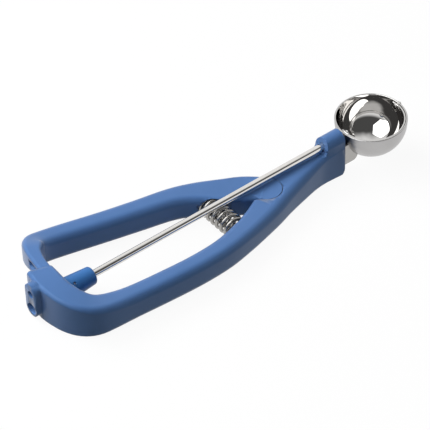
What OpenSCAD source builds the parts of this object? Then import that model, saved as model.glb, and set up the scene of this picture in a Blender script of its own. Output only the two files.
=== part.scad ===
// Lever ice cream scoop with a sweeping wiper, in millimetres.
// Shapes are drawn with the drive shaft along X and the middle of the bowl at the
// origin, then laid flat: the underside of the handle rests on Z = 0, and the part's
// origin is on the underside of the neck, below the shaft.

/* [Bowl] */
// Outer diameter of the bowl
bowl_d = 38.4; // [38:0.2:38.8]
// Thickness of the bowl's steel
bowl_wall = 0.8; // [0.6:0.1:1]
// Height of the rim above the shaft's axis
rim_rise = 1.5; // [1:0.1:2]
// Depth of the rounded part's centre below the shaft's axis
bowl_drop = 0.6; // [0.4:0.1:0.7]

/* [Drive shaft] */
// Diameter of the drive shaft
shaft_d = 4; // [3.6:0.2:4.2]
// How far the shaft's rear end lies inside its mouth
shaft_inset = 1.6; // [1.2:0.1:2]
// Distance from the middle of the bowl back to the shaft's front end
shaft_nose = 15.9; // [15.7:0.1:16.1]
// Diameter of the shaft's thin front end
neck_d = 1.8; // [1.6:0.1:2]

/* [Handle] */
// Slope of the shaft above the handle's underside, in degrees
tilt = 5; // [4.8:0.1:5.2]
// Height of the bowl's middle above the surface that the handle lies on
bowl_height = 24.7; // [24.6:0.1:25.2]
// Distance from the middle of the bowl back to the lever pivot
pivot_back = 73.5; // [73:0.5:74]
// Sideways place of the lever pivot
pivot_side = -4; // [-4.2:0.1:-3.8]
// Radius of the lever's rounded tongue
tongue_r = 7.9; // [7.7:0.1:8]
// Width of the head that holds the shaft and the bowl
head_w = 10; // [9.5:0.5:10.5]
// Distance from the middle of the bowl back to the head's front face
head_front = 21.8; // [21.6:0.2:22.2]

/* [Gear] */
// Gear module
gear_module = 0.8; // [0.8:0.05:0.85]
// Teeth on the pinion
pinion_teeth = 10; // [9:1:11]
// Distance from the middle of the bowl back to the middle of the pinion
pinion_back = 205.3; // [205.1:0.1:205.5]
// Width of the pinion
pinion_w = 5; // [4.5:0.5:5]

/* [Spring] */
// Outer diameter of the return spring
spring_d = 12.8; // [12.4:0.2:13]
// Thickness of the spring's wire
spring_wire = 2; // [1.8:0.1:2.1]
// Turns of the spring
spring_turns = 9; // [8:1:10]

/* [Fits] */
// Running clearance around a turning pin or shaft
run_fit = 0.05; // [0.03:0.01:0.08]
// Clearance around a sliding or swinging face
slide_fit = 0.3; // [0.25:0.05:0.35]

/* [Hidden] */

blue = [0.20, 0.35, 0.60];
steel = [0.78, 0.77, 0.75];

// Round surfaces are drawn with enough sides to look smooth
fine = 96;
small = 48;

// Further than the part reaches, for cuts that pass right through it
beyond = 300;

bowl_r = bowl_d / 2;
shaft_r = shaft_d / 2;
neck_r = neck_d / 2;
floor_drop = bowl_height / cos(tilt);
// Distance from the middle of the bowl back to the part's origin
origin_back = 60;

// Height of the underside at a distance x along the shaft
function under(x) = -floor_drop - x * tan(tilt);

// Lays a shape drawn about the shaft down on the handle's underside
module lie_flat() {
  translate([origin_back, 0, bowl_height])
    rotate([0, -tilt, 0])
      children();
}

// Everything above the surface that the handle lies on
module above_surface() {
  translate([-beyond, -beyond, 0])
    cube(2 * beyond);
}

// A round bar along X
module rod_x(r, x0, x1, sides = small) {
  translate([x0, 0, 0])
    rotate([0, 90, 0])
      cylinder(r = r, h = x1 - x0, $fn = sides);
}

// A box given by its two far corners
module box(low, high) {
  translate(low)
    cube(high - low);
}

// ---- Swept, rounded arms ----
// A station is [x, y, width, bottom, top, outer radius, lower radius, inner radius];
// bottom is the lift above the underside's plane, top is a height on the shaft's own
// scale, and the outer and inner radii round the two upper edges.
corner_steps = 5;

function mix(a, b, c, d, t) =
  0.5 * ((2 * b) + (c - a) * t + (2 * a - 5 * b + 4 * c - d) * t * t
         + (3 * b - a - 3 * c + d) * t * t * t);

function clampi(i, n) = max(0, min(n - 1, i));

function smooth(rows, steps) =
  let (n = len(rows))
  [for (i = [0 : n - 2]) for (k = [0 : steps - 1])
     mix(rows[clampi(i - 1, n)], rows[i], rows[i + 1], rows[clampi(i + 2, n)], k / steps),
   rows[n - 1]];

function heading(rows, i) =
  let (n = len(rows), a = rows[clampi(i - 1, n)], b = rows[clampi(i + 1, n)])
  atan2(b[1] - a[1], b[0] - a[0]);

function ring(row, turn) =
  let (w = row[2] / 2, zb = under(row[0]) + row[3], zt = row[4],
       corners = [[1, 1, row[5]], [-1, 1, row[7]], [-1, -1, row[6]], [1, -1, row[6]]])
  [for (c = [0 : 3])
     for (k = [0 : corner_steps])
       let (corner = corners[c],
            a = 90 * (c + k / corner_steps),
            r = corner[2],
            s = corner[0] * (w - r) + r * cos(a),
            z = (corner[1] > 0 ? zt - r : zb + r) + r * sin(a))
       [row[0] + s * sin(turn), row[1] - s * cos(turn), z]];

module sweep(rows) {
  n = len(rows);
  m = 4 * (corner_steps + 1);
  points = [for (i = [0 : n - 1]) each ring(rows[i], heading(rows, i))];
  sides = [for (i = [0 : n - 2]) for (k = [0 : m - 1])
             let (a = i * m + k, b = i * m + (k + 1) % m)
             each [[a, b, b + m], [a, b + m, a + m]]];
  caps = [[for (k = [0 : m - 1]) m - 1 - k], [for (k = [0 : m - 1]) (n - 1) * m + k]];
  polyhedron(points = points, faces = concat(sides, caps), convexity = 6);
}

// The arms' stations are drawn for a lever of this length, and spread over the real one
drawn_arm = 131.8;
rack_arm = pinion_back - pivot_back;
function along(x) = -pivot_back + (x + pivot_back) * rack_arm / drawn_arm;

// Fixed arm: mouth of the rear sleeve, corner, arm, junction, neck, head
cross_x = -pinion_back - 3;
fixed_rows = [
  [cross_x + 1.4,  13.0, 12.2, 0.0, 15.9, 2.0, 0.8, 2.0],
  [cross_x + 0.9,   4.0, 13.5, 0.0, 15.8, 2.2, 0.8, 2.2],
  [cross_x + 0.4,  -3.0, 14.2, 0.0, 15.6, 2.2, 0.8, 2.2],
  [cross_x + 1.0,  -9.5, 13.6, 0.0, 15.0, 2.2, 0.8, 2.2],
  [cross_x + 2.8, -15.5, 13.6, 0.0, 14.0, 2.4, 0.8, 2.4],
  [cross_x + 6.1, -20.9, 13.4, 0.0, 12.7, 2.8, 1.2, 2.8],
  [cross_x + 11.3, -24.6, 13.4, 0.0, 11.0, 3.4, 2.4, 3.4],
  [along(-189),   -26.1, 12.6, 0.0,  9.0, 3.8, 3.6, 3.8],
  [along(-176),   -26.7, 11.5, 0.0,  6.8, 4.2, 4.0, 4.2],
  [along(-156),   -27.0, 11.4, 0.0,  4.8, 4.2, 4.2, 4.2],
  [along(-136),   -26.6, 11.4, 0.0,  2.9, 4.2, 4.2, 4.2],
  [along(-118),   -24.6, 11.8, 0.0,  1.1, 4.2, 4.2, 4.2],
  [along(-103),   -20.7, 12.6, 0.0, -0.6, 4.4, 4.2, 3.8],
  [along(-90),    -16.4, 13.6, 0.0, -2.0, 4.8, 4.2, 2.8],
  [along(-78),    -11.6, 15.4, 0.0, -2.8, 5.0, 4.0, 1.8],
  [ -66.0,         -5.8, 17.6, 0.0, -3.0, 5.0, 3.6, 2.0],
  [ -54.0,         -3.0, 15.4, 0.0, -3.0, 4.8, 3.2, 2.8],
  [ -44.0,         -1.3, 12.8, 0.0, -3.0, 4.2, 2.8, 2.8],
  [ -35.0,         -0.3, 10.8, 0.0, -3.0, 3.0, 1.6, 2.2],
  [-head_front,     0.0, head_w, 0.0, -3.0, 1.8, 0.8, 1.8]
];

// Moving arm: tongue, arm, corner, end of the bar that runs into the sleeve
tongue_top = -3;
bar_x = 2.3 - pinion_back;
moving_rows = [
  [-pivot_back,   -1.9, 17.0, 0.8, tongue_top, 2.4, 2.4, 2.4],
  [along(-82),     5.1, 18.0, 0.8, tongue_top, 2.4, 3.4, 2.4],
  [along(-92),     9.7, 17.4, 0.6, -1.8, 2.6, 4.0, 2.6],
  [along(-103),   16.2, 15.0, 0.5, -0.6, 3.6, 4.2, 3.6],
  [along(-116),   20.9, 13.2, 0.4,  0.9, 4.2, 4.2, 4.2],
  [along(-136),   23.8, 12.2, 0.3,  2.8, 4.2, 4.2, 4.2],
  [along(-156),   26.8, 11.8, 0.3,  4.7, 4.2, 4.2, 4.2],
  [along(-176),   30.1, 11.7, 0.3,  6.8, 4.2, 4.2, 4.2],
  [bar_x + 15,    30.8, 11.8, 1.4,  8.9, 4.0, 4.0, 4.0],
  [bar_x + 8,     29.4, 11.8, 3.2, 11.4, 3.4, 3.4, 3.2],
  [bar_x + 4.4,   25.2, 10.4, 6.2, 13.3, 2.6, 2.6, 2.4],
  [bar_x + 1.8,   20.6,  7.8, 9.2, 13.9, 1.9, 1.4, 1.6],
  [bar_x,         14.0,  6.4, 12.0, 14.0, 1.6, 0.6, 1.2],
  [bar_x - 0.9,    6.5,  6.2, 12.0, 14.0, 1.6, 0.6, 1.2]
];

// ---- Lever pivot ----
pivot = [-pivot_back, pivot_side];
pivot_floor = under(-pivot_back) + 4.3;
pocket_r = tongue_r + slide_fit;
pin_r = 2.5;
pin_head_r = 4;
pin_head_z = pivot_floor - 2.4;
// Direction in which the lever's near edge leaves the tongue, and the squeeze it needs
tongue_turn = 138;
squeeze = 5;

module at_pivot(z = 0) {
  translate([pivot[0], pivot[1], z])
    children();
}

// ---- Rack and pinion ----
pitch_r = gear_module * pinion_teeth / 2;
pinion_tip_r = pitch_r + 0.75;
pinion_root_r = pitch_r - 0.95;
pressure = 20;
backlash = 0.3;
tooth_pitch = PI * gear_module;
rack_tip = pitch_r - 0.45;
rack_root = pitch_r + 0.95;
rack_turn = 180 - atan2(-pivot_side, rack_arm);
arc_per_mm = 180 / (PI * rack_arm);

// The bar behind the rack, about the pivot, and its narrower tip inside the housing
bar_r = norm([rack_arm, pivot_side]);
bar_half = 2.8;
bar_top = 14;
bar_end = 6.5;
rack_half = 2.6;
tooth_reach = rack_half - 0.3;
tooth_sink = 0.3;
tip_half = 2.3;
tip_top = 12.2;
tip_inner_end = -3.8;
// How far the step inside the mouth lies below the rack's root
step_drop = 1.5;
rack_outer_end = 15;

// The guide groove in the bar's rear face
guide_z = 9.6;
guide_r = 2;
groove_half = guide_r + 0.2;
groove_floor = bar_r - 0.6;
groove_end = 16.2;

// A section swept about the pivot, from one distance along the arc to another
module bar_arc(s0, s1) {
  at_pivot()
    rotate([0, 0, rack_turn - s1 * arc_per_mm])
      rotate_extrude(angle = (s1 - s0) * arc_per_mm, $fn = 720)
        children();
}

module block_section(r0, r1, z0, z1) {
  translate([r0, z0])
    square([r1 - r0, z1 - z0]);
}

// Places a shape on the arc: its X points outwards from the pivot
module on_arc(r, s, z) {
  at_pivot(z)
    rotate([0, 0, rack_turn - s * arc_per_mm])
      translate([r, 0, 0])
        children();
}

// A straight block of the bar, square to the pivot at its middle
module bar_block(s0, s1, r0, r1, z0, z1) {
  half = (s1 - s0) / 2;
  on_arc(0, s0 + half, 0)
    box([r0, -half, z0], [r1, half, z1]);
}

module rack_tooth() {
  half = tooth_pitch / 4 - backlash / 4;
  tip = half - (pitch_r - rack_tip) * tan(pressure);
  root = half + (rack_root + tooth_sink - pitch_r) * tan(pressure);
  // Turned so that it lies along the pinion's teeth when it meshes
  rotate([0, 0, 180 - rack_turn])
    translate([-tooth_reach, 0, 0])
      rotate([90, 0, 90])
        linear_extrude(2 * tooth_reach)
          polygon([[-tip, rack_tip], [tip, rack_tip],
                   [root, rack_root + tooth_sink], [-root, rack_root + tooth_sink]]);
}

module rack_teeth() {
  for (k = [-1 : 5])
    on_arc(bar_r, (k + 0.5) * tooth_pitch, 0)
      rack_tooth();
}

// Half the angle that a pinion tooth spans at radius r
base_r = pitch_r * cos(pressure);
function involute(r) =
  let (a = acos(min(1, base_r / r))) tan(a) * 180 / PI - a;
function tooth_half(r) =
  90 / pinion_teeth - backlash / 4 / pitch_r * 180 / PI
  + involute(pitch_r) - involute(max(r, base_r));
flank = [pinion_root_r, base_r, (base_r + pitch_r) / 2, pitch_r,
         (pitch_r + pinion_tip_r) / 2, pinion_tip_r];

module pinion_outline() {
  polygon([for (t = [0 : pinion_teeth - 1])
    let (mid = 90 + t * 360 / pinion_teeth)
    each concat(
      [for (r = flank) let (a = mid - tooth_half(r)) r * [cos(a), sin(a)]],
      [for (i = [len(flank) - 1 : -1 : 0])
         let (r = flank[i], a = mid + tooth_half(r)) r * [cos(a), sin(a)]])]);
}

// ---- Return spring ----
spring_at = [-100.6, -8.6];
spring_near = -19;
spring_far = 12.4;
pocket_near = spring_near - 0.2;
pocket_far = spring_far + 0.2;
spring_pocket_r = spring_d / 2 + 0.3;
spring_peg_r = spring_d / 2 - spring_wire - 0.4;

module spring_bore(r, y0, y1) {
  translate([spring_at[0], y1, spring_at[1]])
    rotate([90, 0, 0])
      cylinder(r = r, h = y1 - y0, $fn = small);
}

// ---- Fixed side ----
tab_back = cross_x - 9.7;
tab_half = 4.6;
tab_top = 11.2;
rear_wall = cross_x - 6.7;
inner_wall = cross_x + 7.5;
head_back = -33.8;
// The head's rear face leans forwards above the shaft
head_lean = 13;
bearing_r = shaft_r + run_fit;
trough_r = shaft_r + 1.2;
tail_mouth_r = 3.2;
tail_mouth_deep = 2.4;

module tail_tab() {
  for (z = [0, tab_top])
    translate([0, 0, z])
      rod_x(tab_half, tab_back, rear_wall + 1);
  box([tab_back, -tab_half, 0], [rear_wall + 1, tab_half, tab_top]);
}

module head_block() {
  half = head_w / 2;
  fillet = 2;
  difference() {
    union() {
      rod_x(half, head_back, -head_front);
      box([head_back, -half, -14], [-head_front, half, 0]);
    }
    translate([head_back, 0, fillet - 3])
      rotate([0, head_lean, 0])
        box([-head_w, -head_w, 0], [0, head_w, 2 * head_w]);
  }
  difference() {
    box([head_back - fillet, -half, -5], [head_back + 1, half, fillet - 3]);
    translate([head_back - fillet, half + 1, fillet - 3])
      rotate([90, 0, 0])
        cylinder(r = fillet, h = head_w + 2, $fn = small);
  }
}

// Rounds the head's lower front corner
module head_corner_cut() {
  r = 4;
  x = -head_front;
  z = under(x);
  difference() {
    box([x - r, -20, z - 1], [x + 1, 20, z + r]);
    translate([x - r, 20, z + r])
      rotate([90, 0, 0])
        cylinder(r = r, h = 40, $fn = small);
  }
}

// The sleeve's mouth is cut a little on the skew
mouth_y = 10.7;
mouth_skew = 17;

module sleeve_mouth_cut() {
  translate([rear_wall - 5, mouth_y, -20])
    rotate([0, 0, -mouth_skew])
      cube([40, 30, 50]);
}

// Room for the lever's tongue over its whole swing
module tongue_pocket() {
  wall = tongue_turn + squeeze + 0.8;
  foot = pocket_r * [cos(wall + 90), sin(wall + 90)];
  at_pivot(pivot_floor)
    cylinder(r = pocket_r, h = 40, $fn = fine);
  difference() {
    at_pivot(-40)
      linear_extrude(60)
        polygon([foot, foot + 60 * [cos(wall), sin(wall)], [-50, 60], [0, 60], [0, 0]]);
    at_pivot(-40)
      cylinder(r = pocket_r + 0.5, h = 40 + pivot_floor, $fn = fine);
  }
}

// The bar's channel is open towards the loop; the pinion sits below it
module channel(s0, top) {
  bar_arc(s0, 30)
    block_section(bar_r - bar_half - 8, bar_r + bar_half + slide_fit,
                  rack_root - slide_fit, top + slide_fit);
}

module gear_housing_cut() {
  travel = rack_arm * squeeze * PI / 180 + 0.5;
  half = pinion_w / 2 + 0.7;
  channel(tip_inner_end - travel, tip_top);
  channel(bar_end - travel, bar_top);
  box([-pinion_back - half, tip_inner_end - travel, rack_tip - 0.4],
      [-pinion_back + half, 30, rack_root]);
  // Lower step inside the mouth, clear of the lever's corner
  bar_arc(2, 30)
    block_section(bar_r - bar_half - 8, bar_r + bar_half, rack_root - step_drop, rack_root);
  rod_x(pinion_tip_r + 0.3, -pinion_back - half, inner_wall + 1);
}

module fixed_handle() {
  color(blue)
    intersection() {
      lie_flat()
        difference() {
          union() {
            sweep(smooth(fixed_rows, 4));
            tail_tab();
            head_block();
            at_pivot(pivot_floor - 8)
              cylinder(r = pocket_r + 0.5, h = 8, $fn = fine);
          }
          sleeve_mouth_cut();
          gear_housing_cut();
          // Rear bearing of the shaft, with its wider mouth
          rod_x(bearing_r, tab_back - 1, -pinion_back);
          rod_x(tail_mouth_r, tab_back - 1, tab_back + tail_mouth_deep);
          // Seat of the guide pin
          translate([0, 0, guide_z])
            rod_x(guide_r, tab_back - 1, -pinion_back - 1);
          // Front bearing, and the trough under the open shaft
          rod_x(bearing_r, head_back - 1, 0);
          rod_x(trough_r, -pivot_back - 26.5, head_back);
          tongue_pocket();
          // Pivot bore and the recess for the pin's head
          at_pivot(-40)
            cylinder(r = pin_r + run_fit, h = 60, $fn = small);
          at_pivot(-40)
            cylinder(r = pin_head_r + slide_fit, h = 40 + pin_head_z, $fn = small);
          // Spring seat
          difference() {
            spring_bore(spring_pocket_r, pocket_near, 0);
            spring_bore(spring_peg_r, pocket_near, pocket_near + 4);
          }
          head_corner_cut();
          bracket_shape();
        }
      above_surface();
    }
}

module guide_pin() {
  color(steel)
    lie_flat()
      translate([0, 0, guide_z])
        rod_x(guide_r, tab_back + 1.2, -pivot_back - groove_floor - 0.4);
}

// ---- Lever ----
// The arm without its tongue, cut clear of the fixed side
module lever_arm() {
  difference() {
    sweep(smooth(moving_rows, 4));
    shoulder_cut();
    at_pivot(-40)
      cylinder(r = pocket_r + 1, h = 40 + pivot_floor + 1, $fn = fine);
  }
}

module moving_handle() {
  color(blue)
    lie_flat()
      difference() {
        union() {
          lever_arm();
          at_pivot(pivot_floor + slide_fit)
            cylinder(r = tongue_r, h = tongue_top - pivot_floor - slide_fit, $fn = fine);
          bar_block(tip_inner_end, rack_outer_end, bar_r - rack_half, bar_r + rack_half,
                    rack_root, rack_root + 1);
          bar_block(tip_inner_end + 0.3, bar_end + 3, bar_r - tip_half, bar_r + tip_half,
                    rack_root + 0.6, tip_top);
          rack_teeth();
        }
        // Seat of the pivot pin
        at_pivot(-40)
          cylinder(r = pin_r, h = 40 + pivot_floor + 7, $fn = small);
        // Guide groove, with round ends
        bar_block(-0.3, groove_end, groove_floor, bar_r + 12,
                  guide_z - groove_half, guide_z + groove_half);
        for (s = [-0.3, groove_end])
          on_arc(groove_floor, s, guide_z)
            rod_x(groove_half + 0.05, -0.3, 12);
        // Trough under the open shaft
        rod_x(trough_r, -pivot_back - 30.5, head_back);
        difference() {
          spring_bore(spring_pocket_r, 0, pocket_far);
          spring_bore(spring_peg_r, pocket_far - 4, pocket_far);
        }
      }
}

// Keeps the arm's shoulder clear of the neck, outside the tongue's circle
module shoulder_cut() {
  clear = [0, 0, 2 * slide_fit, -slide_fit, slide_fit, 0, 0, 0];
  difference() {
    intersection() {
      sweep([for (row = smooth(fixed_rows, 4)) if (row[0] > -pivot_back - 15) row + clear]);
      at_pivot(-beyond)
        translate([-slide_fit, -beyond, 0])
          cube(2 * beyond);
    }
    at_pivot(-beyond)
      cylinder(r = tongue_r - 0.4, h = 2 * beyond, $fn = fine);
  }
}

module pivot_pin() {
  color(steel)
    lie_flat() {
      at_pivot(pin_head_z - 1.5)
        cylinder(r = pin_head_r, h = 1.4, $fn = small);
      at_pivot(pin_head_z - 1.5)
        cylinder(r = pin_r, h = pivot_floor + 7 - pin_head_z + 1.5, $fn = small);
    }
}

// ---- Bowl ----
lip_r = 0.55;
// How far the rolled rim stands out past the bowl's outside
lip_out = 0.1;

// The lower quarter of a disc, about the centre of the rounded part
module quarter_disc(r) {
  translate([0, -bowl_drop])
    intersection() {
      circle(r = r, $fn = fine);
      translate([0, -r - 1])
        square([r + 1, r + 1]);
    }
}

module bowl_section() {
  inner_r = bowl_r - bowl_wall;
  difference() {
    union() {
      quarter_disc(bowl_r);
      translate([0, -bowl_drop])
        square([bowl_r, rim_rise - lip_r + bowl_drop]);
      translate([bowl_r + lip_out - lip_r, rim_rise - lip_r])
        circle(r = lip_r, $fn = 24);
    }
    quarter_disc(inner_r);
    translate([0, -bowl_drop])
      square([inner_r, 5]);
  }
}

module bowl() {
  color(steel)
    lie_flat()
      difference() {
        rotate_extrude($fn = fine)
          bowl_section();
        rod_x(neck_r + neck_gap, -2 * bowl_r, 0);
        rod_x(stud_r + run_fit, 0, 2 * bowl_r);
      }
}

// Folded steel channel that joins the bowl to the head
bracket_half = 4;
bracket_sheet = 1.2;
bracket_top = -4.5;
bracket_foot = -17.3;
bracket_back = -32;
bracket_front = -12.4;
bracket_round = 3;

module bracket_outline(inset) {
  low = bracket_foot + inset;
  front = bracket_front - inset;
  r = bracket_round - inset;
  translate([bracket_back, low + r])
    square([front - bracket_back, bracket_top - low - r]);
  translate([bracket_back, low])
    square([front - r - bracket_back, r]);
  translate([front - r, low + r])
    circle(r = r, $fn = small);
}

module bracket_slab(inset, half) {
  translate([0, half, 0])
    rotate([90, 0, 0])
      linear_extrude(2 * half)
        bracket_outline(inset);
}

module bracket_shape() {
  difference() {
    bracket_slab(0, bracket_half);
    bracket_slab(bracket_sheet, bracket_half - bracket_sheet);
    translate([0, 0, -bowl_drop])
      sphere(r = bowl_r, $fn = fine);
    // Anchor hole through both cheeks, filled by the head's plastic
    translate([bracket_back + 4, 10, -11])
      rotate([90, 0, 0])
        cylinder(r = 1.8, h = 20, $fn = small);
  }
}

module bowl_bracket() {
  color(steel) lie_flat() bracket_shape();
}

// ---- Shaft and wiper ----
neck_gap = 0.1;
neck_back = head_front + 0.6;
stud_r = 1;
stud_head_r = 1.3;
stud_head_w = 1;
blade_r = bowl_r - bowl_wall - 0.25;
blade_sheet = 0.8;
blade_low = -2.6;
blade_high = 1.1;
eye_r = 2.8;
eye_in = blade_r - 1.2;
collar_r = 1.5;
collar_w = 0.7;

module wiper_pivot_pin() {
  color(steel)
    lie_flat() {
      rod_x(stud_r, eye_in - 0.6, bowl_r + lip_out);
      rod_x(stud_head_r, bowl_r + lip_out, bowl_r + lip_out + stud_head_w);
    }
}

module drive_shaft() {
  color(steel)
    lie_flat()
      difference() {
        union() {
          rod_x(shaft_r, tab_back + shaft_inset, -neck_back);
          rod_x(neck_r, -neck_back - 1, -shaft_nose);
        }
        hub_pin_bore();
      }
}

hub_r = 6.3;
hub_nose_r = 4.9;
hub_back = inner_wall + slide_fit;
hub_front = hub_back + 19.3;
hub_round = 1.4;
hub_pin_x = hub_back + 6.5;
hub_pin_r = 0.8;
hub_pin_turn = 36;

// Across the shaft, leaning towards the fixed arm
module hub_pin_bore(reach = 2 * hub_r) {
  translate([hub_pin_x, 0, 0])
    rotate([hub_pin_turn, 0, 0])
      translate([0, 0, -reach])
        cylinder(r = hub_pin_r, h = 2 * reach, $fn = 24);
}

module pinion_hub() {
  length = hub_front - hub_back;
  color(blue)
    lie_flat()
      difference() {
        union() {
          translate([hub_back, 0, 0])
            rotate([0, 90, 0])
              rotate_extrude($fn = fine)
                polygon(concat(
                  [[0, 0], [hub_r, 0]],
                  [for (a = [0 : 15 : 90])
                     [hub_nose_r - hub_round * (1 - cos(a)),
                      length - hub_round * (1 - sin(a))]],
                  [[0, length]]));
          rod_x(pinion_root_r + 0.4, -pinion_back, hub_back);
          translate([-pinion_back - pinion_w / 2, 0, 0])
            rotate([90, 0, 90])
              linear_extrude(pinion_w)
                pinion_outline();
        }
        rod_x(shaft_r, -beyond, 0);
        hub_pin_bore();
      }
}

module hub_pin() {
  color(steel)
    lie_flat()
      hub_pin_bore(5.35);
}

// Half a ring: an arc-sided section turned half a turn about the bowl's axis
module blade_band() {
  rotate([0, 0, 180])
    rotate_extrude(angle = 180, $fn = fine)
      intersection() {
        difference() {
          circle(r = blade_r, $fn = fine);
          circle(r = blade_r - blade_sheet, $fn = fine);
        }
        translate([0, blade_low])
          square([30, blade_high - blade_low]);
      }
}

// The ends of the half ring are eyes, cut level with its upper edge
module blade_eyes() {
  eye_out = sqrt(blade_r * blade_r - eye_r * eye_r) - 0.02;
  intersection() {
    union() {
      rod_x(eye_r, -eye_out, -eye_in);
      rod_x(eye_r, eye_in, eye_out);
    }
    box([-bowl_r, -eye_r, -eye_r], [bowl_r, eye_r, blade_high]);
  }
}

module wiper_blade() {
  color(steel)
    lie_flat()
      difference() {
        union() {
          blade_band();
          blade_eyes();
        }
        rod_x(neck_r, -2 * bowl_r, 0);
        rod_x(stud_r + run_fit, 0, 2 * bowl_r);
      }
}

module wiper_collar() {
  color(steel)
    lie_flat()
      difference() {
        rod_x(collar_r, -eye_in, -eye_in + collar_w);
        rod_x(neck_r, -2 * bowl_r, 0);
      }
}

// ---- Spring wire ----
module return_spring() {
  sides = 8;
  per_turn = 16;
  coil_r = (spring_d - spring_wire) / 2;
  wire_r = spring_wire / 2;
  steps = spring_turns * per_turn;
  length = spring_far - spring_near - spring_wire;
  points = [for (i = [0 : steps]) for (k = [0 : sides - 1])
    let (a = 360 * i / per_turn, b = 360 * k / sides,
         r = coil_r + wire_r * cos(b),
         // The two end turns lie flat
         t = min(1, max(0, (i - per_turn) / (steps - 2 * per_turn))),
         flat_near = spring_wire * min(i, per_turn) / per_turn,
         flat_far = spring_wire * max(0, i - steps + per_turn) / per_turn,
         y = spring_near + wire_r + flat_near + flat_far
             + t * (length - 2 * spring_wire) + wire_r * sin(b))
    [spring_at[0] + r * cos(a), y, spring_at[1] + r * sin(a)]];
  walls = [for (i = [0 : steps - 1]) for (k = [0 : sides - 1])
    let (a = i * sides + k, b = i * sides + (k + 1) % sides)
    each [[a, b + sides, b], [a, a + sides, b + sides]]];
  caps = [[for (k = [0 : sides - 1]) k], [for (k = [0 : sides - 1]) steps * sides + sides - 1 - k]];
  color(steel)
    lie_flat()
      polyhedron(points = points, faces = concat(walls, caps), convexity = 10);
}

fixed_handle();
bowl();
bowl_bracket();
guide_pin();
wiper_pivot_pin();
moving_handle();
pivot_pin();
drive_shaft();
pinion_hub();
hub_pin();
wiper_blade();
wiper_collar();
return_spring();
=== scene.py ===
import math

import bmesh
import bpy
from mathutils import Matrix, Vector


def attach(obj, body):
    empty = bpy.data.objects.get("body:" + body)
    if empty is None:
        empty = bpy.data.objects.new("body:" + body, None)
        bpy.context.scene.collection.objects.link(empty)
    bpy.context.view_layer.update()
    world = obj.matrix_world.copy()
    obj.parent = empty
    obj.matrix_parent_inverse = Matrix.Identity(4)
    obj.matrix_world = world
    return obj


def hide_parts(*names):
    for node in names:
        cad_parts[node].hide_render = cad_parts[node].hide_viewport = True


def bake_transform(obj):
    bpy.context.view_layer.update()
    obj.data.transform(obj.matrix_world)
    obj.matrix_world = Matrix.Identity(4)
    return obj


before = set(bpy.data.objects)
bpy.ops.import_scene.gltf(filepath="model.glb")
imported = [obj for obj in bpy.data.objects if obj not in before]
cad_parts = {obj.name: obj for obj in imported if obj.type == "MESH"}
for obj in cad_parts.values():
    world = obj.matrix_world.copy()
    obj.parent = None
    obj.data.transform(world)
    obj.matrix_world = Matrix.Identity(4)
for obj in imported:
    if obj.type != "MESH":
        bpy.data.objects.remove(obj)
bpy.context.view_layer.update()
print("frame loaded,", len(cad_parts), "nodes")

# Pieces are drawn in millimetres about the drive shaft, with the bowl's middle at the
# origin, the tail towards -X and the lever towards +Y, and are then laid on the table.
lay = {"slope": 5.0, "originBack": 60.0, "bowlHeight": 24.7}
slope = math.radians(lay["slope"])
mm = 0.001
bowlMiddle = (mm * lay["originBack"], 0.0, mm * lay["bowlHeight"])
layFlat = Matrix.Translation(bowlMiddle) @ Matrix.Rotation(-slope, 4, "Y") @ Matrix.Scale(mm, 4)


# A shader socket that takes arithmetic
class Wire:
    def __init__(self, socket):
        self.socket = socket

    def node(self, kind, settings, sockets, out=0):
        tree = self.socket.id_data
        made = tree.nodes.new(kind)
        for name, value in settings.items():
            setattr(made, name, value)
        for name, value in sockets.items():
            if isinstance(value, Wire):
                tree.links.new(value.socket, made.inputs[name])
            else:
                made.inputs[name].default_value = value
        return Wire(made.outputs[out]) if made.outputs else None

    def beside(self, name):
        # Another output of the same node
        return Wire(self.socket.node.outputs[name])

    def math(self, operation, first, second):
        return self.node("ShaderNodeMath", {"operation": operation}, {0: first, 1: second})

    def __add__(self, other):
        return self.math("ADD", self, other)

    def __sub__(self, other):
        return self.math("SUBTRACT", self, other)

    def __rsub__(self, other):
        return self.math("SUBTRACT", other, self)

    def __mul__(self, other):
        return self.math("MULTIPLY", self, other)

    def __truediv__(self, other):
        return self.math("DIVIDE", self, other)

    def __pow__(self, other):
        return self.math("POWER", self, other)

    __radd__ = __add__
    __rmul__ = __mul__


def firstWire(holder, kind, output=0):
    # Empties a material's or a world's tree and starts it with one node
    holder.use_nodes = True
    holder.node_tree.nodes.clear()
    return Wire(holder.node_tree.nodes.new(kind).outputs[output])


def startMaterial(name):
    # The coordinates come back in millimetres about the shaft
    material = bpy.data.materials.new(name)
    place = firstWire(material, "ShaderNodeTexCoord", "Object")
    inShaft = place.node("ShaderNodeMapping", {"vector_type": "TEXTURE"}, {
        "Vector": place, "Location": bowlMiddle, "Rotation": (0.0, -slope, 0.0), "Scale": (mm, mm, mm)})
    return material, inShaft


def finishMaterial(material, place, sockets):
    shader = place.node("ShaderNodeBsdfPrincipled", {}, sockets)
    place.node("ShaderNodeOutputMaterial", {}, {"Surface": shader})
    return material


def blendColours(factor, first, second):
    return factor.node("ShaderNodeMix", {"data_type": "RGBA"}, {
        0: factor, 6: (*first, 1.0), 7: (*second, 1.0)}, out=2)


def noise(place, scale, detail, roughness=0.5):
    return place.node("ShaderNodeTexNoise", {}, {
        "Vector": place, "Scale": scale, "Detail": detail, "Roughness": roughness})


def mapRange(value, low, high, interpolation="LINEAR"):
    return value.node("ShaderNodeMapRange", {"interpolation_type": interpolation}, {
        "Value": value, "From Min": low, "From Max": high})


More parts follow.
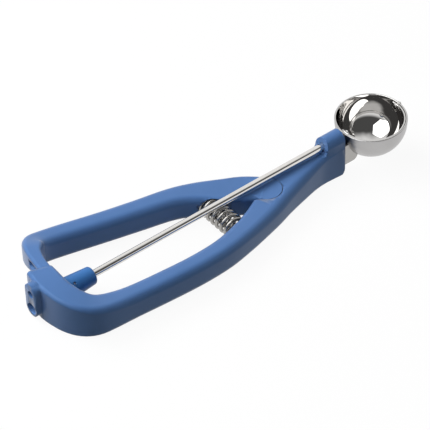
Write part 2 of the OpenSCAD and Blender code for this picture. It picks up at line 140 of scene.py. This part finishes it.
# Nylon, with a fine moulded grain and slightly clouded colour
nylonLook = {"deep": (0.074, 0.168, 0.395), "light": (0.090, 0.196, 0.445), "cloudSize": 28.0,
             "grainSize": 0.35, "grainDepth": 0.22, "grainHeight": 0.03, "edge": 0.45, "ior": 1.5,
             "roughness": 0.24, "cloudRoughness": 0.08, "grainRoughness": 0.06,
             "haze": 0.28, "hazeSpread": 0.4, "gloss": 0.26, "glossTint": (0.55, 0.8, 1.0, 1.0)}


def mouldedNylon(name, look):
    material, place = startMaterial(name)
    clouds = noise(place, 1 / look["cloudSize"], detail=3.0, roughness=0.55)
    grain = noise(place, 1 / look["grainSize"], detail=2.0, roughness=0.6)
    rounded = place.node("ShaderNodeBevel", {"samples": 6}, {"Radius": mm * look["edge"]})
    bump = place.node("ShaderNodeBump", {}, {
        "Strength": look["grainDepth"], "Distance": mm * look["grainHeight"],
        "Height": grain, "Normal": rounded})
    return finishMaterial(material, place, {
        "Base Color": blendColours(clouds, look["deep"], look["light"]),
        "Roughness": look["roughness"] + clouds * look["cloudRoughness"] + grain * look["grainRoughness"],
        "IOR": look["ior"], "Specular IOR Level": look["gloss"], "Specular Tint": look["glossTint"],
        "Sheen Weight": look["haze"], "Sheen Roughness": look["hazeSpread"], "Normal": bump})


handleNylon = mouldedNylon("handleNylon", nylonLook)
leverNylon = mouldedNylon("leverNylon", dict(nylonLook, edge=0.35))
hubNylon = mouldedNylon("hubNylon", dict(nylonLook, deep=(0.040, 0.160, 0.43), light=(0.047, 0.175, 0.46)))


# Drawn and rolled steel, with fine lines along the way that it was drawn
steelShared = {"lineHeight": 0.02, "patchScale": 0.35}


def drawnSteel(name, look):
    material, place = startMaterial(name)
    stretched = place.node("ShaderNodeMapping", {"vector_type": "TEXTURE"}, {
        "Vector": place, "Scale": look["lineSize"]})
    lines = noise(stretched, 1.0, detail=3.0, roughness=0.6)
    patches = noise(place, steelShared["patchScale"], detail=2.0)
    bump = place.node("ShaderNodeBump", {}, {
        "Strength": look["lineDepth"], "Distance": mm * steelShared["lineHeight"], "Height": lines})
    return finishMaterial(material, place, {
        "Base Color": blendColours(patches, look["dark"], look["light"]), "Metallic": 1.0,
        "Roughness": look["roughness"] + lines * look["roughnessSpread"], "Normal": bump})


shaftFinish = drawnSteel("shaftFinish", {
    "lineSize": (9.0, 0.12, 0.12), "lineDepth": 0.06, "roughness": 0.10, "roughnessSpread": 0.06,
    "dark": (0.70, 0.68, 0.65), "light": (0.80, 0.785, 0.76)})
wiperFinish = drawnSteel("wiperFinish", {
    "lineSize": (3.0, 3.0, 0.15), "lineDepth": 0.06, "roughness": 0.08, "roughnessSpread": 0.08,
    "dark": (0.58, 0.57, 0.555), "light": (0.66, 0.65, 0.64)})
bracketFinish = drawnSteel("bracketFinish", {
    "lineSize": (4.0, 0.2, 0.2), "lineDepth": 0.10, "roughness": 0.26, "roughnessSpread": 0.12,
    "dark": (0.37, 0.36, 0.345), "light": (0.44, 0.43, 0.415)})
springFinish = drawnSteel("springFinish", {
    "lineSize": (0.4, 0.4, 0.4), "lineDepth": 0.04, "roughness": 0.20, "roughnessSpread": 0.06,
    "dark": (0.30, 0.29, 0.275), "light": (0.42, 0.41, 0.39)})
pinFinish = drawnSteel("pinFinish", {
    "lineSize": (0.3, 0.3, 0.3), "lineDepth": 0.10, "roughness": 0.20, "roughnessSpread": 0.12,
    "dark": (0.56, 0.55, 0.53), "light": (0.66, 0.65, 0.63)})
print("nylon and drawn steel ready")


# Mesh helpers, which work in millimetres until a piece is laid flat
weldDrawn = 0.0001
weldNode = mm * 0.002
barSides = 48


def chain(bm, points, closed=False):
    verts = [bm.verts.new(point) for point in points]
    for first, second in zip(verts, verts[1:]):
        bm.edges.new((first, second))
    if closed:
        bm.edges.new((verts[-1], verts[0]))
    return verts


def roundCorner(bm, vert, offset, segments):
    bmesh.ops.bevel(bm, geom=[vert], offset=offset, offset_type="OFFSET", segments=segments,
                    profile=0.5, affect="VERTICES", material=-1, clamp_overlap=False)


def turn(bm, axis, steps, angle=None):
    # All the way round, if no angle is given
    bmesh.ops.spin(bm, geom=bm.verts[:] + bm.edges[:], cent=(0, 0, 0), axis=axis,
                   angle=2 * math.pi if angle is None else angle, steps=steps,
                   use_merge=angle is None, use_duplicate=False)


def closeUp(bm):
    bmesh.ops.remove_doubles(bm, verts=bm.verts, dist=weldDrawn)
    bmesh.ops.recalc_face_normals(bm, faces=bm.faces)


def turnedBar(start, end, radius, chamfer, bore=0.0):
    # A bar or a washer along X, with rounded ends
    bm = bmesh.new()
    verts = chain(bm, [(start, 0, bore), (start, 0, radius), (end, 0, radius), (end, 0, bore)],
                  closed=bore > 0)
    for vert in verts[1:3]:
        roundCorner(bm, vert, chamfer, 3)
    turn(bm, (1, 0, 0), barSides)
    closeUp(bm)
    return bm


def addPart(bm, part):
    mesh = bpy.data.meshes.new("part")
    part.to_mesh(mesh)
    part.free()
    bm.from_mesh(mesh)
    bpy.data.meshes.remove(mesh)


def makePiece(bm, name, material, smoothAngle=35):
    mesh = bpy.data.meshes.new(name)
    bm.to_mesh(mesh)
    bm.free()
    mesh.polygons.foreach_set("use_smooth", [True] * len(mesh.polygons))
    mesh.set_sharp_from_angle(angle=math.radians(smoothAngle))
    mesh.materials.append(material)
    piece = bpy.data.objects.new(name, mesh)
    bpy.context.scene.collection.objects.link(piece)
    return piece


def makeBars(name, material, bars, stand=Matrix()):
    # Bars in one line along X; stand then moves them to their own place
    bm = bmesh.new()
    for bar in bars:
        addPart(bm, turnedBar(*bar))
    bm.transform(layFlat @ stand)
    return makePiece(bm, name, material)


def mount(piece, body, node):
    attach(piece, body)
    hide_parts(node)
    print("piece ready:", piece.name, len(piece.data.polygons), "faces")


def cutAway(piece, tool):
    # Applied at once, so that the piece keeps no modifier
    tool.transform(layFlat)
    cutter = makePiece(tool, "cutter", piece.data.materials[0])
    cut = piece.modifiers.new("cut", "BOOLEAN")
    cut.object = cutter
    cut.operation = "DIFFERENCE"
    cut.solver = "EXACT"
    shape = bpy.data.meshes.new_from_object(piece.evaluated_get(bpy.context.evaluated_depsgraph_get()))
    piece.modifiers.remove(cut)
    old = piece.data
    piece.data = shape
    bpy.data.meshes.remove(old)
    bpy.data.objects.remove(cutter)


# The mouldings and the bracket keep the nodes' own shapes
def copyNode(node, name, material):
    # The node's own triangles, merged so that they can be shaded smooth
    bm = bmesh.new()
    bm.from_mesh(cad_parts[node].data)
    bmesh.ops.remove_doubles(bm, verts=bm.verts, dist=weldNode)
    piece = makePiece(bm, name, material)
    if "custom_normal" in piece.data.attributes:
        piece.data.attributes.remove(piece.data.attributes["custom_normal"])
    weighted = piece.modifiers.new("evenShading", "WEIGHTED_NORMAL")
    weighted.keep_sharp = True
    return piece


mount(copyNode("fixed_handle", "fixedHandle", handleNylon), "handle", "fixed_handle")
mount(copyNode("moving_handle", "leverArm", leverNylon), "lever", "moving_handle")
mount(copyNode("pinion_hub", "pinionHub", hubNylon), "wiper", "pinion_hub")
mount(copyNode("bowl_bracket", "bowlBracket", bracketFinish), "handle", "bowl_bracket")


# The bowl, a mirror inside and satin outside
bowl = {"radius": 19.2, "wall": 0.8, "drop": 0.6, "rim": 1.49, "rimRoundIn": 0.30, "rimRoundOut": 0.45,
        "bead": 0.1, "beadDeep": 0.9, "beadSlant": 0.12, "arcSteps": 40, "turnSteps": 144,
        "neckHole": 1.0, "studHole": 1.05, "drillReach": 30.0, "drillChamfer": 0.1}
bowlLook = {"satinDepth": 0.35, "satinBlend": 0.06, "lineSize": 0.12, "lineDepth": 0.10,
            "lineHeight": 0.01, "patchScale": 0.12, "mirror": 0.03, "satin": 0.24, "satinSpread": 0.1,
            "satinShadeTint": (0.71, 0.71, 0.72), "dark": (0.60, 0.59, 0.575), "light": (0.66, 0.65, 0.64)}


def bowlSteel(name, look):
    # The satin begins within the wall and shows lines from turning, and its steel colour is multiplied
    # darker as painted shade
    material, place = startMaterial(name)
    fromCentre = place.node("ShaderNodeVectorMath", {"operation": "ADD"}, {
        0: place, 1: (0.0, 0.0, bowl["drop"])})
    reach = fromCentre.node("ShaderNodeVectorMath", {"operation": "LENGTH"}, {0: fromCentre}, out=1)
    satinFrom = bowl["radius"] - look["satinDepth"]
    outside = mapRange(reach, satinFrom - look["satinBlend"], satinFrom + look["satinBlend"])
    across = place.node("ShaderNodeSeparateXYZ", {}, {0: place})
    along, height = across.beside("Y"), across.beside("Z")
    radial = (across * across + along * along) ** 0.5
    around = place.node("ShaderNodeCombineXYZ", {}, {
        0: radial / look["lineSize"], 1: height / look["lineSize"], 2: 0.0})
    lines = noise(around, 1.0, detail=4.0, roughness=0.65)
    patches = noise(place, look["patchScale"], detail=2.0)
    metal = blendColours(patches, look["dark"], look["light"])
    # Painted shade: the satin outside's steel colour is multiplied darker than the mirror inside's
    colour = outside.node("ShaderNodeMix", {"data_type": "RGBA", "blend_type": "MULTIPLY"}, {
        0: outside, 6: metal, 7: (*look["satinShadeTint"], 1.0)}, out=2)
    bump = place.node("ShaderNodeBump", {}, {
        "Strength": look["lineDepth"], "Distance": mm * look["lineHeight"],
        "Height": lines * outside})
    return finishMaterial(material, place, {
        "Base Color": colour, "Metallic": 1.0,
        "Roughness": look["mirror"] + outside * (look["satin"] + lines * look["satinSpread"]),
        "Normal": bump})


def makeBowl():
    outer = bowl["radius"]
    inner = outer - bowl["wall"]
    lip = outer + bowl["bead"]
    base = -bowl["drop"]
    beadFoot = bowl["rim"] - bowl["beadDeep"]
    bm = bmesh.new()
    verts = chain(bm, [
        (0, 0, base - outer), (outer, 0, base - outer), (outer, 0, beadFoot),
        (lip, 0, beadFoot + bowl["beadSlant"]), (lip, 0, bowl["rim"]),
        (inner, 0, bowl["rim"]), (inner, 0, base - inner), (0, 0, base - inner)])
    roundCorner(bm, verts[1], outer, bowl["arcSteps"])
    roundCorner(bm, verts[4], bowl["rimRoundOut"], 6)
    roundCorner(bm, verts[5], bowl["rimRoundIn"], 5)
    roundCorner(bm, verts[6], inner, bowl["arcSteps"])
    turn(bm, (0, 0, 1), bowl["turnSteps"])
    closeUp(bm)
    bm.transform(layFlat)
    shell = makePiece(bm, "bowlShell", bowlSteel("bowlFinish", bowlLook))
    cutAway(shell, turnedBar(-bowl["drillReach"], 0, bowl["neckHole"], bowl["drillChamfer"]))
    cutAway(shell, turnedBar(0, bowl["drillReach"], bowl["studHole"], bowl["drillChamfer"]))
    return shell


mount(makeBowl(), "handle", "bowl")


# The drive shaft, with a thin front end, and the pins; a bar is its start, end, radius and chamfer
shaft = {"tail": -216.4, "step": -22.4, "nose": -15.9, "radius": 2.0, "chamfer": 0.35,
         "neck": 0.9, "neckChamfer": 0.2, "overlap": 0.5}
guidePin = {"height": 9.6, "tail": -216.8, "nose": -205.2, "radius": 2.0, "chamfer": 0.4}
hubPin = {"place": -194.0, "lean": 36.0, "reach": 5.35, "radius": 0.8, "dome": 0.7}
pivotPin = {"place": (-73.5, -4.0), "foot": -17.97, "top": -7.07, "radius": 2.5, "chamfer": 0.3,
            "headRadius": 4.0, "headThick": 1.4, "overlap": 1.2}
upright = Matrix.Rotation(math.radians(-90), 4, "Y")

mount(makeBars("driveShaft", shaftFinish, [
    (shaft["tail"], shaft["step"], shaft["radius"], shaft["chamfer"]),
    (shaft["step"] - shaft["overlap"], shaft["nose"], shaft["neck"], shaft["neckChamfer"])]),
    "wiper", "drive_shaft")
mount(makeBars("guidePin", pinFinish, [
    (guidePin["tail"], guidePin["nose"], guidePin["radius"], guidePin["chamfer"])],
    Matrix.Translation((0, 0, guidePin["height"]))), "handle", "guide_pin")
mount(makeBars("hubPin", pinFinish, [
    (-hubPin["reach"], hubPin["reach"], hubPin["radius"], hubPin["dome"])],
    Matrix.Translation((hubPin["place"], 0, 0))
    @ Matrix.Rotation(math.radians(hubPin["lean"]), 4, "X") @ upright),
    "wiper", "hub_pin")
mount(makeBars("pivotPin", pinFinish, [
    (pivotPin["foot"], pivotPin["foot"] + pivotPin["headThick"], pivotPin["headRadius"],
     pivotPin["chamfer"]),
    (pivotPin["foot"] + pivotPin["headThick"] - pivotPin["overlap"], pivotPin["top"],
     pivotPin["radius"], pivotPin["chamfer"])],
    Matrix.Translation((*pivotPin["place"], 0)) @ upright), "lever", "pivot_pin")


# The wiper, half a ring with an eye at each end, its collar and its stud
wiper = {"radius": 18.15, "sheet": 0.8, "low": -2.6, "high": 1.1, "arcSteps": 8, "turnSteps": 72,
         "edgeAngle": 50.0, "edgeRound": 0.14, "eyeIn": 16.95, "eyeOut": 17.9, "eyeRadius": 2.8,
         "eyeChamfer": 0.2, "neckBore": 0.9, "studBore": 1.05}
collar = {"radius": 1.5, "long": 0.7, "chamfer": 0.15}
stud = {"radius": 1.0, "start": 16.35, "chamfer": 0.3, "overlap": 0.3,
        "headStart": 19.3, "headRadius": 1.3, "headLong": 1.0, "headDome": 0.5}


def makeBand():
    # The outer face is part of a ball, so it starts as an arc about the bowl's middle
    radius = wiper["radius"]
    high = math.asin(wiper["high"] / radius)
    low = math.asin(wiper["low"] / radius)
    bm = bmesh.new()
    bm.verts.new((radius * math.cos(high), 0, radius * math.sin(high)))
    turn(bm, (0, 1, 0), wiper["arcSteps"], high - low)
    bmesh.ops.remove_doubles(bm, verts=bm.verts, dist=weldDrawn)
    turn(bm, (0, 0, 1), wiper["turnSteps"], -math.pi)
    closeUp(bm)
    if bm.faces[:][0].normal.dot(bm.faces[:][0].calc_center_median()) < 0:
        bmesh.ops.reverse_faces(bm, faces=bm.faces)
    bmesh.ops.solidify(bm, geom=bm.faces[:], thickness=wiper["sheet"])
    bmesh.ops.recalc_face_normals(bm, faces=bm.faces)
    edges = [edge for edge in bm.edges if edge.calc_face_angle(0.0) > math.radians(wiper["edgeAngle"])]
    bmesh.ops.bevel(bm, geom=edges, offset=wiper["edgeRound"], offset_type="OFFSET", segments=2,
                    profile=0.5, affect="EDGES", material=-1, clamp_overlap=True)
    return bm


def makeWiper():
    bm = makeBand()
    eye = (wiper["eyeRadius"], wiper["eyeChamfer"])
    addPart(bm, turnedBar(-wiper["eyeOut"], -wiper["eyeIn"], *eye, wiper["neckBore"]))
    addPart(bm, turnedBar(wiper["eyeIn"], wiper["eyeOut"], *eye, wiper["studBore"]))
    bm.transform(layFlat)
    blade = makePiece(bm, "wiperBlade", wiperFinish)
    # The eyes are cut level with the band's upper edge
    block = 4 * wiper["eyeRadius"]
    tool = bmesh.new()
    bmesh.ops.create_cube(tool, size=block)
    bmesh.ops.scale(tool, vec=(5, 1, 1), verts=tool.verts)
    bmesh.ops.translate(tool, vec=(0, 0, wiper["high"] + block / 2), verts=tool.verts)
    cutAway(blade, tool)
    return blade


mount(makeWiper(), "wiper", "wiper_blade")
mount(makeBars("wiperCollar", wiperFinish, [
    (-wiper["eyeIn"], -wiper["eyeIn"] + collar["long"], collar["radius"], collar["chamfer"],
     wiper["neckBore"])]), "wiper", "wiper_collar")
mount(makeBars("wiperStud", pinFinish, [
    (stud["start"], stud["headStart"] + stud["overlap"], stud["radius"], stud["chamfer"]),
    (stud["headStart"], stud["headStart"] + stud["headLong"], stud["headRadius"], stud["headDome"])]),
    "handle", "wiper_pivot_pin")


# The return spring, whose end turns lie close
spring = {"place": (-100.6, -8.6), "near": -19.0, "far": 12.4, "outside": 12.8, "wire": 2.0,
          "turns": 9, "stepsPerTurn": 40, "wireSides": 14, "smoothAngle": 50}


def makeSpring():
    wireRadius = spring["wire"] / 2
    coilRadius = (spring["outside"] - spring["wire"]) / 2
    x, z = spring["place"]
    run = spring["far"] - spring["near"] - spring["wire"]
    middleTurns = spring["turns"] - 2
    middlePitch = (run - 2 * spring["wire"]) / middleTurns
    bm = bmesh.new()
    ring = bmesh.ops.create_circle(bm, segments=spring["wireSides"], radius=wireRadius)
    bmesh.ops.translate(bm, verts=ring["verts"], vec=(x + coilRadius, spring["near"] + wireRadius, z))
    live = bm.verts[:] + bm.edges[:]
    for turns, pitch in ((1, spring["wire"]), (middleTurns, middlePitch), (1, spring["wire"])):
        made = bmesh.ops.spin(bm, geom=live, cent=(x, 0, z), axis=(0, -1, 0), angle=2 * math.pi * turns,
                              dvec=(0, pitch / spring["stepsPerTurn"], 0),
                              steps=turns * spring["stepsPerTurn"], use_merge=False, use_duplicate=False)
        live = made["geom_last"]
    bmesh.ops.edgeloop_fill(bm, edges=[edge for edge in bm.edges if edge.is_boundary])
    bmesh.ops.recalc_face_normals(bm, faces=bm.faces)
    bm.transform(layFlat)
    return makePiece(bm, "returnSpring", springFinish, spring["smoothAngle"])


returnSpring = makeSpring()
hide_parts("return_spring")
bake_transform(returnSpring)
print("piece ready: returnSpring", len(returnSpring.data.polygons), "faces")


# The studio: a white floor and world, softboxes, and a dim room that only shines in the steel
lookAt = Vector((-0.04762, -0.00503, 0.01528))
studio = {"ambient": 0.10, "floorSize": 3.0, "floorDrop": 0.0003, "floorDim": (0.13, 0.13, 0.13),
          "floorWhite": (0.97, 0.97, 0.97), "floorSeen": 0.93}
keyPlace = {"sides": 6, "radius": 0.98, "azimuth": 160.0, "elevation": 50.0, "distance": 1.6}
softboxes = {
    "keySoftbox": dict(keyPlace, strength=3.2),
    "keyGlint": dict(keyPlace, strength=3.6, onlyShines=True),
    "backSoftbox": {"sides": 4, "radius": 0.64, "azimuth": 118.0, "elevation": 44.0, "distance": 1.5,
                    "strength": 7.4},
    "fillSoftbox": {"sides": 4, "radius": 0.64, "azimuth": -35.0, "elevation": 22.0, "distance": 1.5,
                    "strength": 1.8}}
room = {"radius": 2.6, "around": 72, "upwards": 36, "foot": 0.2, "grey": 0.09, "bright": 1.0,
        "windowAt": (50.0, 32.0), "windowFrom": 0.30, "windowTo": 0.75,
        "cloudScale": 0.7, "cloudSpread": 0.5, "skylineFrom": 0.50, "skylineTo": 0.30}


def fromAngles(azimuth, elevation):
    a, e = math.radians(azimuth), math.radians(elevation)
    return Vector((math.cos(a) * math.cos(e), math.sin(a) * math.cos(e), math.sin(e)))


def seenRays(path):
    # 1 for what the camera sees, also by way of metal or glass
    camera, glossy = path.beside("Is Camera Ray"), path.beside("Is Glossy Ray")
    return path.math("MAXIMUM", path.math("MAXIMUM", camera, glossy), path.beside("Is Transmission Ray"))


def makeWorld():
    world = bpy.data.worlds.new("studioWorld")
    path = firstWire(world, "ShaderNodeLightPath")
    seen = seenRays(path)
    shader = path.node("ShaderNodeBackground", {}, {
        "Color": (1.0, 1.0, 1.0, 1.0), "Strength": seen + (1 - seen) * studio["ambient"]})
    path.node("ShaderNodeOutputWorld", {}, {"Surface": shader})
    bpy.context.scene.world = world


def makeFloor():
    # White where it is seen, and greyer in the light that it throws back at the scoop
    material = bpy.data.materials.new("floorFinish")
    path = firstWire(material, "ShaderNodeLightPath")
    seen = seenRays(path)
    matt = path.node("ShaderNodeBsdfDiffuse", {}, {
        "Color": blendColours(seen, studio["floorDim"], studio["floorWhite"])})
    glow = path.node("ShaderNodeEmission", {}, {"Color": (1.0, 1.0, 1.0, 1.0), "Strength": 1.0})
    both = path.node("ShaderNodeMixShader", {}, {0: seen * studio["floorSeen"], 1: matt, 2: glow})
    path.node("ShaderNodeOutputMaterial", {}, {"Surface": both})
    bm = bmesh.new()
    bmesh.ops.create_grid(bm, x_segments=2, y_segments=2, size=studio["floorSize"])
    floor = makePiece(bm, "floor", material)
    floor.location.z = -studio["floorDrop"]


def makeSoftbox(name, box):
    # It lights the scoop without showing in it, or only shows in what shines
    material = bpy.data.materials.new(name + "Glow")
    glow = firstWire(material, "ShaderNodeEmission")
    glow.socket.node.inputs["Strength"].default_value = box["strength"]
    glow.node("ShaderNodeOutputMaterial", {}, {"Surface": glow})
    bm = bmesh.new()
    bmesh.ops.create_circle(bm, cap_ends=True, segments=box["sides"], radius=box["radius"])
    towards = fromAngles(box["azimuth"], box["elevation"])
    bm.transform(Matrix.Translation(lookAt + towards * box["distance"])
                 @ towards.to_track_quat("Z", "Y").to_matrix().to_4x4())
    lamp = makePiece(bm, name, material)
    lamp.visible_camera = False
    lamp.visible_glossy = box.get("onlyShines", False)
    lamp.visible_diffuse = not lamp.visible_glossy


def makeRoom():
    # A dome that only reflections see: grey, but bright towards its window and below its skyline
    material = bpy.data.materials.new("roomShadeGrey")
    place = firstWire(material, "ShaderNodeTexCoord", "Object")
    facing = place.node("ShaderNodeVectorMath", {"operation": "DOT_PRODUCT"}, {
        0: place, 1: fromAngles(*room["windowAt"]) / room["radius"]}, out=1)
    clouds = noise(place, room["cloudScale"], detail=1.0)
    height = place.node("ShaderNodeSeparateXYZ", {}, {0: place}, out=2)
    window = mapRange(facing + (clouds - 0.5) * room["cloudSpread"], room["windowFrom"], room["windowTo"],
                      "SMOOTHSTEP")
    skyline = mapRange(height / room["radius"], room["skylineFrom"], room["skylineTo"], "SMOOTHSTEP")
    level = room["grey"] + place.math("MAXIMUM", window, skyline) * (room["bright"] - room["grey"])
    glow = place.node("ShaderNodeEmission", {}, {
        "Color": blendColours(level, (0.0, 0.0, 0.0), (1.0, 1.0, 1.0)), "Strength": 1.0})
    place.node("ShaderNodeOutputMaterial", {}, {"Surface": glow})
    bm = bmesh.new()
    bmesh.ops.create_uvsphere(bm, u_segments=room["around"], v_segments=room["upwards"],
                              radius=room["radius"])
    low = [face for face in bm.faces if face.calc_center_median().z < room["foot"] * room["radius"]]
    bmesh.ops.delete(bm, geom=low, context="FACES")
    shade = makePiece(bm, "roomShade", material)
    shade.visible_camera = False
    shade.visible_diffuse = False
    shade.visible_shadow = False
    shade.visible_transmission = False


makeWorld()
makeFloor()
for softboxName, softbox in softboxes.items():
    makeSoftbox(softboxName, softbox)
makeRoom()
print("studio ready")


# The camera
cameraSet = {"azimuth": -130.433, "elevation": 40.444, "roll": 3.39, "distance": 1.350,
             "lens": 223.57, "sensor": 36.0, "farthest": 20.0}


def makeCamera():
    data = bpy.data.cameras.new("productCamera")
    data.sensor_width = cameraSet["sensor"]
    data.lens = cameraSet["lens"]
    data.clip_end = cameraSet["farthest"]
    camera = bpy.data.objects.new("productCamera", data)
    bpy.context.scene.collection.objects.link(camera)
    back = fromAngles(cameraSet["azimuth"], cameraSet["elevation"])
    turnCamera = (Matrix.Rotation(math.radians(cameraSet["azimuth"] + 90), 4, "Z")
                  @ Matrix.Rotation(math.radians(90 - cameraSet["elevation"]), 4, "X")
                  @ Matrix.Rotation(math.radians(cameraSet["roll"]), 4, "Z"))
    camera.matrix_world = Matrix.Translation(lookAt + back * cameraSet["distance"]) @ turnCamera
    bpy.context.scene.camera = camera


makeCamera()
bpy.context.scene.view_settings.view_transform = "Standard"
print("camera ready")
